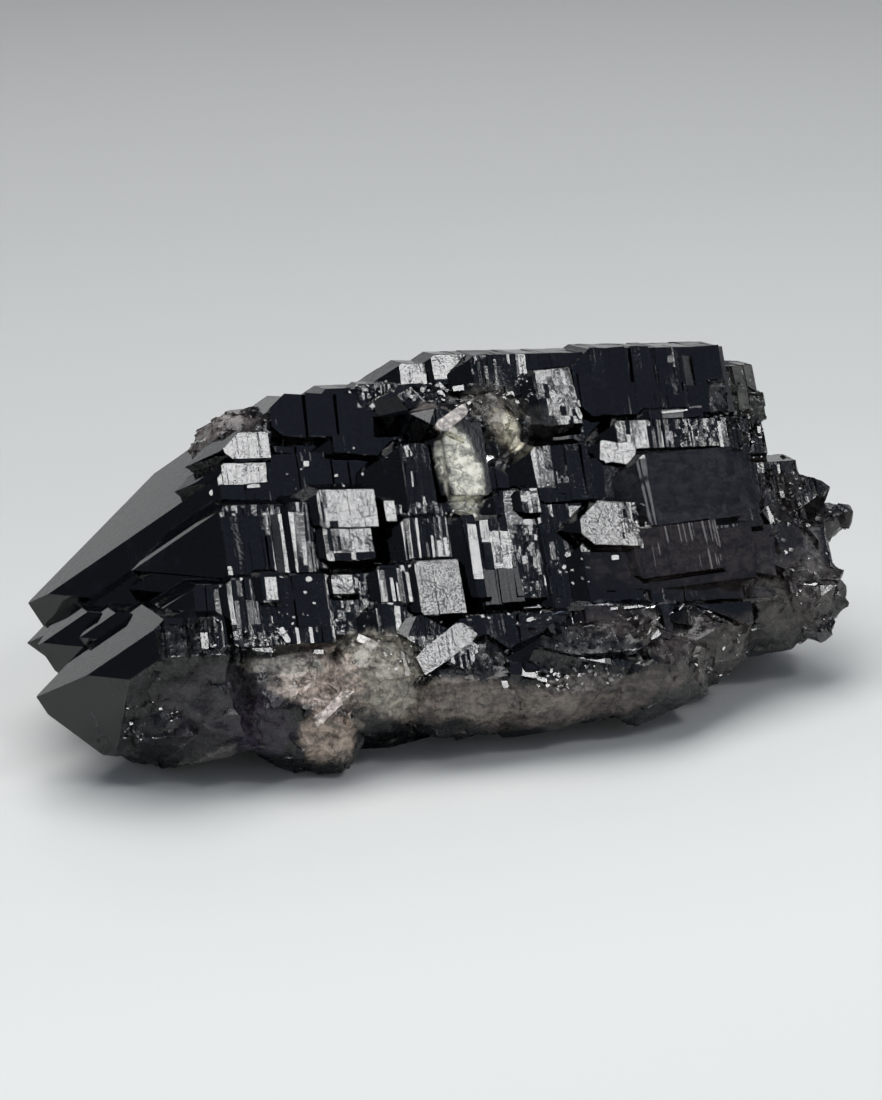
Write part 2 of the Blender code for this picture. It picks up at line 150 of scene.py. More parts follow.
# Front faces by place: style, left, right, bottom, top. The first that fits counts.
FRONT = [
    ("mirror", -31.5, -22.4, 16.5, 21.0),
    ("mirror", -31.5, -24.0, 12.7, 16.2),
    ("black", -31.5, -22.4, 9.0, 16.5),
    ("glitter", -34.0, -20.6, 6.4, 8.8),
    ("mirror_fine", -34.0, -31.7, -3.8, -1.0),
    ("navy", -34.0, -26.8, -3.8, 6.4),
    ("streaked", -26.8, -25.9, -3.8, 6.4),
    ("satin", -25.9, -24.7, -3.8, 6.4),
    ("mirror", -24.7, -22.7, -3.6, 6.4),
    ("grey", -22.7, -19.6, -3.6, 8.8),
    ("grey", -18.0, -16.2, 0.4, 4.8),
    ("brushed", -19.6, -17.4, 0.0, 10.2),
    ("flecked", -17.4, -9.6, 2.6, 10.2),
    ("mottled", -17.4, -9.6, 0.0, 2.6),
    ("mottled", -19.0, -14.2, -2.2, 0.0),
    ("black", -14.2, -8.7, -3.2, 10.2),
    ("mirror", -8.7, -6.8, 5.2, 8.4),
    ("mirror_fine", -7.0, 0.4, -2.35, 5.0),
    ("navy_fine", -6.0, 1.4, 8.4, 18.0),
    ("glitter", -6.0, 1.4, 5.0, 8.4),
    ("streaked", -40.6, -39.7, -9.0, -3.5),
    ("satin", -39.7, -36.0, -10.0, -3.5),
    ("navy_fine", -39.7, -36.0, -14.6, -10.0),
    ("grey", -36.0, -29.8, -10.4, -3.6),
    ("mirror", -28.8, -27.1, -7.2, -3.3),
    ("grey", -29.6, -28.2, -10.4, -7.2),
    ("glitter", -36.0, -27.4, -14.6, -10.4),
    ("streaked", -25.2, -19.7, -14.6, -11.2),
    ("navy", -27.1, -20.0, -11.2, -3.2),
    ("mottled", -19.8, -15.8, -6.6, -3.2),
    ("glitter", -20.0, -12.6, -13.0, -3.2),
    ("mirror_fine", -12.6, -6.9, -8.6, -2.3),
    ("speckled", -6.9, 0.4, -10.9, -2.3),
    ("mirror", -10.7, -9.8, -12.4, -8.9),
    ("navy_fine", -13.8, -4.0, -14.0, -8.6),
    ("mirror", 2.5, 4.0, -5.2, 3.2),
    ("mirror", 4.7, 6.4, 0.6, 4.7),
    ("mottled", 6.0, 9.8, -3.6, 2.2),
    ("pale", 4.0, 9.8, -9.3, -3.6),
    ("black", 0.4, 4.7, -9.3, 5.2),
    ("milky", 1.6, 9.2, 8.4, 20.4),
    ("mottled", 15.4, 18.4, 9.2, 16.2),
    ("glitter", 18.4, 20.6, 9.8, 12.6),
    ("navy", 17.2, 25.4, 6.6, 16.2),
    ("mottled", 12.6, 15.2, 3.8, 8.6),
    ("glitter", 8.8, 14.0, -8.0, 3.8),
    ("navy_fine", 14.0, 19.8, -10.0, 8.2),
    ("speckled", 20.0, 26.4, -1.6, 6.4),
    ("brushed", 26.4, 29.6, -1.6, 6.4),
    ("brushed", 19.8, 27.0, 25.2, 30.4),
    ("brushed", 21.4, 27.4, 20.4, 25.2),
    ("mirror", 0.3, 4.8, 29.6, 34.2),
    ("mirror", 5.8, 10.8, 30.4, 35.8),
    ("glitter", -7.0, 5.6, 26.0, 31.6),
    ("mirror", 18.6, 19.8, 30.0, 33.4),
    ("navy_fine", 11.0, 20.4, 28.0, 35.0),
    ("navy_fine", 13.0, 19.0, 24.0, 28.0),
    ("mirror", 27.0, 33.0, 13.0, 16.7),
    ("mottled", 30.4, 36.4, 15.6, 20.7),
    ("grey", 36.4, 41.0, 15.6, 20.7),
    ("glitter", 41.0, 48.2, 15.6, 20.7),
    ("navy", 10.8, 40.4, 22.4, 34.0),
    ("navy_fine", 40.4, 45.2, 22.4, 34.0),
    ("satin", 45.2, 58.0, 21.0, 34.0),
    ("brown", 24.2, 52.0, 2.4, 14.8),
    ("black", -23.0, -5.0, 11.0, 30.0),
    ("brown", 28.6, 61.0, -7.6, 2.4),
    ("black", 15.8, 46.0, -11.0, -7.6),
    ("navy_fine", 46.0, 60.0, 1.2, 21.5),
    ("brown", 8.0, 50.0, -19.5, -11.0),
    ("brushed", -10.6, 1.0, -20.0, -12.2),
]

# Chips that mirror the window: a, h, length, width, turn from the long axis in degrees, and how
# far they stand out
CHIPS = [
    (3.9, 20.2, 6.8, 2.0, 33, 1.0),
    (-26.2, 12.3, 2.6, 0.7, 3, 0.12),
    (-2.7, 16.4, 1.2, 2.0, 10, 0.12),
    (-17.2, 16.4, 1.1, 1.1, 0, 0.12),
    (-12.8, 14.6, 0.6, 0.5, 0, 0.12),
    (-13.7, 10.9, 0.5, 0.3, 0, 0.12),
    (-32.3, 11.9, 0.9, 0.8, 40, 0.12),
    (41.3, 22.0, 4.8, 0.40, 3, 0.12),
    (45.6, 23.2, 2.4, 0.45, 4, 0.12),
    (22.4, -11.3, 10.4, 0.45, 1, 0.12),
    (37.4, -12.3, 4.6, 0.45, 3, 0.12),
    (40.6, -13.9, 2.8, 0.40, 14, 0.12),
    (31.0, 15.6, 3.2, 1.7, 6, 0.12),
    (28.6, 14.0, 3.0, 1.5, 14, 0.12),
    (26.2, 22.7, 0.9, 2.4, 12, 0.12),
    (26.6, -16.4, 2.5, 1.2, 24, 0.2),
    (3.1, -21.7, 1.1, 2.0, 5, 0.12),
    (6.6, -20.8, 3.0, 1.6, -14, 0.12),
    (8.6, -21.7, 1.8, 0.8, -20, 0.12),
    (-15.3, -13.4, 2.4, 1.4, -30, 0.12),
    (-30.2, -13.8, 3.4, 1.3, -8, 0.12),
    (-26.9, -12.2, 1.0, 2.8, 20, 0.12),
    (-44.5, -20.2, 0.5, 0.7, 0, 0.12),
    (-48.3, -21.4, 0.6, 0.7, 0, 0.12),
    (18.6, -1.3, 1.6, 0.7, 8, 0.12),
    (24.6, -2.6, 3.2, 0.9, 6, 0.12),
    (-22.2, -4.2, 1.0, 0.9, 30, 0.12),
    (6.2, 28.8, 1.6, 1.6, 30, 0.12),
    (9.6, 28.4, 3.6, 1.0, 4, 0.12),
    (-4.4, 26.6, 4.4, 0.9, 42, 0.12),
    (-4.4, -15.8, 11.5, 4.2, 32, 0.3),
    (9.8, -11.7, 1.3, 0.7, 10, 0.12),
]

# Rods that stand out and don't mirror the window, in the same order
RODS = [
    (-21.4, -22.8, 9.0, 1.8, 36, 1.2),
]

# Crumbs of bright chips: centre a and h, half sizes, how many, smallest and largest in mm,
# share that mirrors the window itself
CRUMBS = [
    (-31.0, -12.6, 6.0, 2.0, 26, 0.2, 0.8, 0.4),
    (-37.6, -12.6, 2.6, 2.4, 8, 0.2, 0.6, 0.3),
    (-16.5, -8.0, 4.0, 3.6, 22, 0.2, 0.8, 0.4),
    (-25.0, -9.0, 3.5, 3.5, 12, 0.2, 0.6, 0.3),
    (-9.0, -17.6, 4.0, 2.6, 18, 0.3, 0.9, 0.4),
    (14.0, -22.0, 5.5, 1.6, 22, 0.3, 1.0, 0.25),
    (9.0, -21.8, 2.5, 1.2, 12, 0.4, 0.9, 0.6),
    (-14.0, -16.0, 4.5, 2.5, 14, 0.3, 0.9, 0.2),
    (-46.0, -21.0, 4.5, 4.0, 16, 0.2, 0.5, 0.4),
    (-12.0, 15.0, 9.0, 4.0, 14, 0.2, 0.5, 0.4),
    (-1.5, 29.0, 7.0, 2.0, 24, 0.3, 1.1, 0.5),
    (9.0, 24.0, 2.5, 3.0, 18, 0.3, 0.8, 0.3),
    (3.5, 27.0, 3.0, 1.6, 16, 0.3, 0.9, 0.4),
    (17.0, 27.5, 3.0, 3.0, 20, 0.3, 0.9, 0.3),
    (57.0, -2.0, 4.5, 15.0, 36, 0.2, 0.8, 0.15),
    (54.0, 22.0, 4.0, 9.0, 22, 0.2, 0.7, 0.15),
    (38.0, -17.5, 12.0, 5.0, 22, 0.2, 0.8, 0.10),
    (22.0, -14.5, 7.0, 2.8, 12, 0.2, 0.8, 0.10),
    (11.6, -2.0, 2.6, 9.0, 26, 0.2, 0.6, 0.4),
    (18.5, -3.0, 3.0, 4.0, 16, 0.3, 0.8, 0.4),
    (29.5, 3.5, 2.6, 4.0, 22, 0.25, 0.8, 0.4),
    (42.5, 18.0, 4.5, 2.3, 26, 0.2, 0.5, 0.4),
    (-1.5, 6.8, 4.0, 2.0, 24, 0.25, 0.7, 0.5),
    (5.0, 7.0, 4.0, 1.6, 16, 0.3, 0.9, 0.4),
    (4.0, -11.5, 9.0, 1.2, 20, 0.2, 0.6, 0.3),
]

# Broken ground: centre (a, h, o), half sizes along a, h, o, share of shards grown on it
ROUGH = [
    ((-38.0, -19.0, -8.0), (14.0, 9.0, 12.0), 0.10),
    ((-40.0, -18.0, 2.0), (13.0, 9.0, 12.0), 0.16),
    ((-24.0, -20.0, -2.0), (11.0, 10.0, 10.0), 0.03),
    ((-4.0, -20.0, 0.0), (20.0, 8.0, 10.0), 0.08),
    ((25.0, -19.0, 1.0), (22.0, 11.0, 13.0), 0.14),
    ((57.0, 0.0, -8.0), (11.0, 16.0, 16.0), 0.30),
    ((54.0, 20.0, -11.0), (8.0, 15.0, 14.0), 0.14),
    ((50.0, -12.0, -2.0), (9.0, 8.0, 12.0), 0.30),
    ((-26.0, 22.0, -9.0), (8.0, 7.0, 8.0), 0.45),
    ((10.0, 19.0, -6.0), (11.0, 13.0, 8.0), 0.6),
]

# The low crystal is broken away underneath to the right of this line, a * BREAK_A + h * BREAK_H
BREAK_A, BREAK_H, BREAK_PLACE = -0.737, 0.676, 24.4

# The broken base in mm along a and h, and the level o up to which its flat faces are shattered
BASE_LEFT, BASE_RIGHT, BASE_TOP, BASE_LEVEL = -32.0, -10.8, -14.9, 6.2

# Veils and stains in the quartz, and one painted reflection of the floor along the bottom edge:
# centre (a, h, o), half sizes, turn from the long axis in degrees, colour, how much they hide
VEILS_AND_PAINTED_REFLECTION = [
    ((40.0, -2.0, 2.0), (19.0, 8.5, 8.0), 0, (0.066, 0.050, 0.044), 0.50),
    ((56.0, 2.0, -6.0), (12.0, 18.0, 12.0), 0, (0.052, 0.044, 0.041), 0.48),
    ((39.0, 9.0, 2.5), (11.0, 7.5, 6.0), 0, (0.068, 0.064, 0.070), 0.38),
    ((55.8, 26.5, -4.0), (3.2, 6.0, 6.0), 0, (0.115, 0.115, 0.095), 0.55),
    ((54.0, -9.0, 4.0), (8.0, 6.0, 8.0), 20, (0.105, 0.090, 0.082), 0.60),
    ((57.5, -2.5, 3.0), (1.5, 4.0, 5.0), -12, (0.24, 0.22, 0.21), 0.55),
    ((38.0, -18.0, 6.0), (14.0, 5.5, 9.0), 6, (0.085, 0.072, 0.064), 0.60),
    ((22.0, -14.5, 9.0), (8.0, 4.0, 6.0), 0, (0.085, 0.066, 0.060), 0.55),
    ((-36.0, -20.0, 0.0), (10.0, 6.0, 10.0), 0, (0.052, 0.046, 0.052), 0.60),
    ((-27.0, 24.0, -9.0), (6.0, 4.0, 7.0), 0, (0.24, 0.20, 0.185), 0.55),
    # painted reflection: this thin pale rim along the bottom-left edge stands in for the bright
    # floor mirrored there
    ((-36.9, -26.4, -1.2), (6.0, 0.5, 4.0), 6, (0.22, 0.20, 0.19), 0.50),
    ((12.0, -24.8, 8.0), (18.0, 2.3, 8.0), 5, (0.120, 0.100, 0.086), 0.85),
    ((14.0, -22.4, 9.0), (6.0, 1.2, 5.0), 3, (0.22, 0.195, 0.18), 0.70),
    ((-4.0, -22.8, 5.0), (15.0, 2.4, 7.0), -4, (0.20, 0.165, 0.138), 0.85),
    ((-14.0, -17.5, 5.0), (6.0, 5.0, 7.0), -20, (0.42, 0.390, 0.320), 0.80),
    ((-22.4, -18.8, 3.0), (6.2, 4.4, 8.0), -14, (0.61, 0.510, 0.435), 0.92),
    ((-27.2, -15.8, 4.5), (5.2, 1.3, 5.0), -6, (0.50, 0.460, 0.390), 0.80),
    ((-21.6, -26.0, 2.5), (5.2, 3.0, 6.0), -6, (0.44, 0.350, 0.285), 0.90),
    ((-30.4, -24.6, 2.0), (4.0, 4.0, 5.0), 0, (0.030, 0.023, 0.036), 0.90),
    ((-21.4, -22.8, 7.2), (4.6, 1.0, 1.4), 36, (0.78, 0.68, 0.62), 1.00),
    ((13.6, 25.0, -1.0), (5.0, 3.6, 5.0), -10, (0.165, 0.150, 0.125), 0.55),
    ((20.6, 21.8, -2.0), (3.0, 2.8, 4.0), 0, (0.10, 0.095, 0.085), 0.45),
    ((14.0, 20.8, -1.0), (2.8, 2.8, 4.0), -20, (0.37, 0.320, 0.240), 0.80),
    ((15.2, 19.6, -1.0), (1.4, 2.8, 3.0), 10, (0.84, 0.78, 0.60), 1.00),
    ((3.4, 24.2, 0.0), (4.0, 2.2, 4.0), 24, (0.30, 0.265, 0.240), 0.60),
    ((8.0, -1.0, 6.0), (2.4, 3.0, 3.0), 0, (0.40, 0.43, 0.42), 0.30),
    ((4.7, 12.8, 1.0), (3.0, 7.4, 4.5), 4, (0.93, 0.905, 0.76), 1.00),
    ((3.9, 20.4, 4.6), (3.7, 1.3, 1.4), 33, (0.90, 0.82, 0.75), 0.95),
    ((-27.0, 14.0, -34.0), (9.0, 7.0, 6.0), 18, (0.115, 0.100, 0.092), 0.50),
    ((9.0, 24.0, -24.0), (8.0, 3.6, 5.0), 12, (0.200, 0.185, 0.155), 0.42),
    ((33.0, 20.0, -26.0), (13.0, 8.0, 7.0), -8, (0.085, 0.068, 0.058), 0.50),
    ((4.0, 4.0, -29.0), (15.0, 6.0, 6.0), 4, (0.090, 0.078, 0.070), 0.45),
]

# The quartz itself
QUARTZ_TINT = (0.20, 0.23, 0.30)
QUARTZ_IOR = 1.544
POLISH = 0.03                       # roughness of a clean growth face
SMOKE_COLOUR = (0.62, 0.55, 0.50, 1.0)
SMOKE_DENSITY = 1500.0

# Its patterns, in cycles per metre, and its finest relief, in mm
GRAIN, PATCH, STRIATION, SPECK, CRUMB = 900, 260, 1500, 2400, 1300
STRIATION_DEPTH, SPECK_DEPTH, SWELL_DEPTH, CRUMB_DEPTH = 0.028, 0.030, 0.060, 0.12

# Ramps of the material: a pattern's low and high, and the values that they become
HAZE = (0.14, 0.50, 0.0, 0.08)      # how much the growth streaks hide
SHADE = (0.50, 0.90, 0.38, 1.45)    # how dark and light the colour gets
CRACKS = (0.0, 0.045, 0.45, 1.0)    # how dark it is in a crack
SUGAR = (0.42, 0.56, 0.10, 0.34)    # roughness of broken and chalky places
CHALKY = (0.60, 0.95, 0.0, 1.0)     # which veils look chalky
ON_SIDE = (0.12, 0.35, 1.0, 0.0)    # the sides of the crystals, where the striations are
WAVES = (0.38, 0.62, 0.25, 1.0)     # where they are strong
MOTTLED_ROUGHNESS, SATIN_ROUGHNESS = 0.06, 0.24
VEIL_EDGE, TINT_EDGE = (0.72, 1.25), (1.05, 1.30)   # where a veil fades, 1 at its half size

# The table's colour: pale in front, with painted shade that darkens it towards the back
FLOOR_NEAR = (0.885, 0.90, 0.857, 1.0)
FLOOR_FAR_PAINTED_SHADE = (0.395, 0.40, 0.385, 1.0)
FLOOR_BETWEEN = ((0.287, 0.655), (0.555, 0.53))   # how far back, and how pale there
SKY_LOW, SKY_HIGH = (0.66, 0.685, 0.685), (0.12, 0.135, 0.18)


def local(a, h, o):
    """A place in the crystal axes, in metres."""
    return Vector((a, -o, h)) * MM


def toward(azimuth, elevation, distance):
    """A place seen from the specimen at a compass angle from +Y and a height, in degrees."""
    a, e = math.radians(azimuth), math.radians(elevation)
    return (
        distance * math.cos(e) * math.sin(a),
        distance * math.cos(e) * math.cos(a),
        distance * math.sin(e),
    )


def lying_matrix():
    turn = Euler((math.radians(ROLL), math.radians(PITCH), 0.0)).to_matrix().to_4x4()
    return Matrix.Translation(Vector(LYING_AXIS) * MM) @ turn


LYING = lying_matrix()


def cad_solid():
    """The CAD node's mesh, moved into the crystal axes, with its flat faces whole again."""
    node = bpy.data.objects["smoky_quartz_cluster"]
    bm = bmesh.new()
    bm.from_mesh(node.data)
    bmesh.ops.transform(bm, matrix=LYING.inverted(), verts=bm.verts)
    bmesh.ops.remove_doubles(bm, verts=bm.verts, dist=1e-7)
    bmesh.ops.dissolve_limit(
        bm, angle_limit=math.radians(0.4), verts=bm.verts, edges=bm.edges
    )
    bm.normal_update()
    return bm


def to_object(bm, name):
    mesh = bpy.data.meshes.new(name)
    bm.to_mesh(mesh)
    bm.free()
    obj = bpy.data.objects.new(name, mesh)
    bpy.context.scene.collection.objects.link(obj)
    return obj


def in_rough(place):
    """Share of shards at a place, 0 where the surface is not broken."""
    a, h, o = place.x / MM, place.z / MM, -place.y / MM
    best = 0.0
    for centre, half, share in ROUGH:
        away = math.dist((a / half[0], h / half[1], o / half[2]),
                         [c / s for c, s in zip(centre, half)])
        if away < 1.0:
            best = max(best, share)
    return best


def side_angle(normal):
    """Angle of a face round the long axis, in degrees from the front."""
    return math.degrees(math.atan2(normal.z, -normal.y))


def off_side(normal):
    """How far a face is turned from the nearest of the six sides, in degrees."""
    return abs((side_angle(normal) + 30) % 60 - 30)


def is_prism(normal):
    """True for the six sides of a crystal and the small turns they take."""
    upright = abs(normal.x) <= math.sin(math.radians(PRISM_ANGLE))
    return upright and off_side(normal) < PRISM_ANGLE


def is_tip(normal):
    """True for the faces of the points."""
    return TIP_LOOK[0] < normal.x < TIP_LOOK[1] and off_side(normal) < TIP_ANGLE


def is_end(normal):
    """True for faces square to the long axis."""
    return abs(normal.x) > END_LOOK


def broken_away(face):
    """True under the crystals where their lower faces are broken."""
    if not UNDERSIDE[0] < side_angle(face.normal) < UNDERSIDE[1]:
        return False
    middle = face.calc_center_median()
    along = middle.x / MM * BREAK_A + middle.z / MM * BREAK_H
    return along < BREAK_PLACE and in_rough(middle) > 0


def in_base(place):
    """True in the broken base under the front's left half."""
    return BASE_LEFT < place.x / MM < BASE_RIGHT and place.z / MM < BASE_TOP


def is_sound(face):
    """True for the sides of crystals that are whole."""
    return is_prism(face.normal) and not broken_away(face)


def shard(rng, size):
    """A small broken piece of quartz: a block with its corners cut off at random."""
    bm = bmesh.new()
    bmesh.ops.create_cube(bm, size=2.0)
    for _ in range(rng.randint(8, 12)):
        away = Vector([rng.gauss(0, 1) for _ in range(3)]).normalized()
        parts = bm.verts[:] + bm.edges[:] + bm.faces[:]
        bmesh.ops.bisect_plane(
            bm, geom=parts, dist=1e-5, plane_co=away * rng.uniform(0.72, 0.92),
            plane_no=away, clear_outer=True
        )
        rim = [edge for edge in bm.edges if edge.is_boundary]
        if rim:
            bmesh.ops.edgeloop_fill(bm, edges=rim)
    shape = Matrix.Diagonal((*(size * rng.uniform(0.55, 1.2) for _ in range(3)), 1.0))
    spin = Euler([rng.uniform(0, math.tau) for _ in range(3)]).to_matrix().to_4x4()
    bmesh.ops.transform(bm, matrix=spin @ shape, verts=bm.verts)
    bmesh.ops.recalc_face_normals(bm, faces=bm.faces)
    return bm


def scatter(bm, per_mm2, rng):
    """Random places on the broken faces, with their outward directions."""
    spots = []
    for face in bm.faces:
        middle = face.calc_center_median()
        share = in_rough(middle)
        if not share or (is_tip(face.normal) and not broken_away(face)):
            continue
        count = face.calc_area() / MM**2 * per_mm2 * share
        for _ in range(int(count) + (rng.random() < count % 1)):
            u, v = sorted((rng.random(), rng.random()))
            p, q, r = (vert.co for vert in face.verts[:3])
            spots.append((p * u + q * (v - u) + r * (1 - v), face.normal.copy()))
    return spots


def grow_shards(solid_bm):
    """Join small broken pieces to the broken ground."""
    rng = random.Random(SEED)
    spots = scatter(solid_bm, SHARDS_PER_MM2, rng)
    pieces = bpy.data.collections.new("shards")
    made = chips(solid_bm, rng)
    for place, away in spots:
        size = rng.uniform(0.5, 1.0) ** 2 * SHARD_SIZE * MM
        bm = shard(rng, size)
        bmesh.ops.translate(bm, vec=place - away * size * 0.85, verts=bm.verts)
        made.append(bm)
    bed = to_object(solid_bm, "quartz_bed")
    for bm in made:
        mesh = bpy.data.meshes.new("shard")
        bm.to_mesh(mesh)
        bm.free()
        pieces.objects.link(bpy.data.objects.new("shard", mesh))
    join = bed.modifiers.new("join", "BOOLEAN")
    join.operation = "UNION"
    join.solver = "MANIFOLD"
    join.operand_type = "COLLECTION"
    join.collection = pieces
    shape = bed.evaluated_get(bpy.context.evaluated_depsgraph_get())
    joined = bmesh.new()
    joined.from_mesh(shape.data)
    for obj in list(pieces.objects) + [bed]:
        bpy.data.objects.remove(obj)
    bpy.data.collections.remove(pieces)
    return joined


def chip(rng, spot, top, length, width, turn):
    """A small chip of quartz with a flat top that looks along the direction top."""
    bm = bmesh.new()
    along = Vector((1, 0, 0))
    right = (along - top * along.dot(top)).normalized()
    right = Matrix.Rotation(math.radians(turn), 3, top) @ right
    up = top.cross(right)
    count = rng.randint(6, 8)
    rings = []
    # the top, and a wider foot that stands in the surface
    for depth, spread in ((0.0, 1.0), (-0.5 - width, 1.2)):
        rings.append([])
        for i in range(count):
            angle = math.tau * (i + 0.5) / count
            c, v = math.cos(angle), math.sin(angle)
            x = math.copysign(abs(c) ** SQUARE, c) * length * 0.5 * spread
            y = math.copysign(abs(v) ** SQUARE, v) * width * 0.5 * spread
            rings[-1].append((x, y, depth))
    wobble = [rng.uniform(0.75, 1.0) for _ in range(count)]
    verts = [
        [bm.verts.new(spot + (right * x * w + up * y * w + top * z) * MM)
         for (x, y, z), w in zip(ring, wobble)]
        for ring in rings
    ]
    for i in range(count):
        k = (i + 1) % count
        bm.faces.new((verts[0][i], verts[0][k], verts[1][k], verts[1][i]))
    bm.faces.new(verts[0])
    bm.faces.new(verts[1])
    bmesh.ops.recalc_face_normals(bm, faces=bm.faces)
    return bm


def chips(solid_bm, rng):
    """All the bright chips, each set on the surface that the front shows."""
    tree = BVHTree.FromBMesh(solid_bm)
    plan = [(*row, BRIGHT_TILT) for row in CHIPS] + [(*row, DARK_TILT) for row in RODS]
    for a, h, half_a, half_h, count, small, large, share in CRUMBS:
        for _ in range(count):
            angle, reach = rng.uniform(0, math.tau), math.sqrt(rng.random())
            size = rng.uniform(small, large)
            plan.append((
                a + math.cos(angle) * reach * half_a, h + math.sin(angle) * reach * half_h,
                size, size * rng.uniform(0.35, 0.9), rng.uniform(-70, 70), 0.12,
                BRIGHT_TILT if rng.random() < share else SOFT_TILT,
            ))
    made = []
    for a, h, length, width, turn, lift, tilt in plan:
        spot = tree.ray_cast(local(a, h, 40), Vector((0, 1, 0)))[0]
        if spot is None:
            continue
        top = tilted(lit_direction(spot), tilt, rng)
        made.append(chip(rng, spot + top * lift * MM, top, length, width, turn))
    return made


def style_at(place, normal):
    """The style of a prism face at a place."""
    if abs(side_angle(normal)) < FRONT_ANGLE:
        a, h = place.x / MM, place.z / MM
        for name, left, right, bottom, top in FRONT:
            if left <= a <= right and bottom <= h <= top:
                return STYLES[name]
    return STYLES["plain"]


def split_face(bm, face, places, direction):
    """Cut one face by parallel planes and return its parts."""
    faces = [face]
    for place in places:
        geom = set(faces)
        for part in faces:
            geom.update(part.edges)
            geom.update(part.verts)
        made = bmesh.ops.bisect_plane(
            bm, geom=list(geom), dist=1e-7, plane_co=direction * place, plane_no=direction
        )
        cut = {f for f in made["geom"] if isinstance(f, bmesh.types.BMFace)}
        faces = [f for f in cut | set(faces) if f.is_valid]
    return sorted(faces, key=lambda f: f.calc_center_median().dot(direction))


def reach(face, direction):
    """The lowest and highest place of a face along a direction."""
    places = [vert.co.dot(direction) for vert in face.verts]
    return min(places), max(places)


def table_breaks(face, direction, upward):
    """Places where the table's front faces begin and end on a face."""
    if abs(side_angle(face.normal)) >= FRONT_ANGLE:
        return []
    middle = face.calc_center_median()
    low, high = reach(face, direction)
    a, h = middle.x / MM, middle.z / MM
    bottom, top = (value / MM for value in reach(face, Vector((0, 0, 1))))
    breaks = set()
    for _, left, right, lower, upper in FRONT:
        if upward and left <= a <= right:
            breaks.update(direction.dot(local(a, end, -middle.y / MM)) for end in (lower, upper))
        if not upward and lower < top and upper > bottom:
            breaks.update(direction.dot(local(end, h, -middle.y / MM)) for end in (left, right))
    margin = EDGE_MARGIN * MM
    return sorted(place for place in breaks if low + margin < place < high - margin)


def block_breaks(face, across, height, rng):
    """Places where a growth step is cut across, if it is tall enough."""
    low, high = reach(face, across)
    breaks = []
    at = low + rng.uniform(0.3, 1.6) * height * MM
    while at < high - 0.3 * MM:
        breaks.append(at)
        at += rng.uniform(0.3, 1.9) * height * MM
    return breaks


def step_breaks(face, along, narrow, wide, rng):
    """Places of the steps between two ends."""
    low, high = reach(face, along)
    breaks = []
    at = low + rng.uniform(narrow, wide) * MM
    while at < high - narrow * MM * 0.6:
        breaks.append(at)
        at += (narrow + (wide - narrow) * rng.random() ** 2) * MM
    return breaks


def lit_direction(place):
    """The direction, in the crystal axes, of a face that mirrors the window light to the view."""
    spot = LYING @ place
    light = (Vector(toward(*WINDOW_LIGHT)) - spot).normalized()
    view = (Vector(CAMERA_PLACE) * MM - spot).normalized()
    return (LYING.to_3x3().inverted() @ (light + view)).normalized()


def turned(direction, up, side):
    """A direction tipped up the front face and to the side, in degrees."""
    tip = Matrix.Rotation(math.radians(-up), 3, "X") @ Matrix.Rotation(math.radians(side), 3, "Z")
    return tip @ direction


def tilted(direction, tilt, rng):
    """A direction tilted by an angle between two limits, any way round."""
    angle = rng.uniform(*tilt)
    way = rng.uniform(0, math.tau)
    return turned(direction, angle * math.sin(way), angle * math.cos(way))


def lean_top(face, normal, target, lift):
    """Lift a growth layer off its face and turn its top to the target direction."""
    middle = face.calc_center_median()
    heights = [
        -(vert.co - middle).dot(target) / target.dot(normal) for vert in face.verts
    ]
    base = lift - min(heights)
    for vert, height in zip(face.verts, heights):
        vert.co += normal * (base + height)


def step_direction(face, bright, soft, rng):
    """Which way the top of a growth step looks."""
    if abs(side_angle(face.normal)) >= FRONT_ANGLE:
        return turned(face.normal, rng.uniform(-1.0, 1.0), rng.uniform(-2.0, 2.0))
    lit = lit_direction(face.calc_center_median())
    pick = rng.random()
    if pick < bright:
        return tilted(lit, BRIGHT_TILT, rng)
    if pick < bright + soft:
        return tilted(lit, SOFT_TILT, rng)
    return turned(lit, rng.uniform(-4.0, 2.0), rng.choice((-1, 1)) * rng.uniform(*DARK_TILT))


def split_low_point(bm):
    """Cut the lower face of the low crystal where its broken part begins."""
    across = Vector((BREAK_A, 0.0, BREAK_H))
    for face in bm.faces[:]:
        middle = face.calc_center_median()
        if is_tip(face.normal) and side_angle(face.normal) < -40 and middle.z < -12 * MM:
            split_face(bm, face, [BREAK_PLACE * MM], across)


def grow_steps(bm):
    """Growth steps and striations across every prism face."""
    rng = random.Random(SEED + 1)
    sides = [f for f in bm.faces if is_sound(f) and f.calc_area() > SMALLEST_SIDE * MM**2]
    steps = []
    for face in sides:
        normal = face.normal.copy()
        askew = Matrix.Rotation(math.radians(rng.uniform(-3.5, 1.0)), 3, normal)
        along = askew @ Vector((1, 0, 0))
        for part in split_face(bm, face, table_breaks(face, along, False), along):
            skew = Matrix.Rotation(math.radians(rng.uniform(-4.0, 4.0)), 3, normal)
            across = skew @ normal.cross(along).normalized()
            for panel in split_face(bm, part, table_breaks(part, across, True), across):
                narrow, wide, height = style_at(panel.calc_center_median(), normal)[2:5]
                for strip in split_face(
                    bm, panel, step_breaks(panel, along, narrow, wide, rng), along
                ):
                    cuts = block_breaks(strip, across, height, rng)
                    steps += split_face(bm, strip, cuts, across)
    steps = [step for step in steps if step.calc_area() > SMALLEST_STEP * MM**2]
    plan = []
    for step in steps:
        bright, soft, *_, uneven = style_at(step.calc_center_median(), step.normal)
        target = step_direction(step, bright, soft, rng)
        if in_base(step.calc_center_median()):
            target = step.normal.copy()
        lift = rng.uniform(LEAST_LIFT, LEAST_LIFT + uneven) * MM
        plan.append((step, step.normal.copy(), target, lift))
    bmesh.ops.inset_individual(bm, faces=steps, thickness=STEP_EDGE * MM, use_even_offset=True)
    for step, normal, target, lift in plan:
        lean_top(step, normal, target, lift)


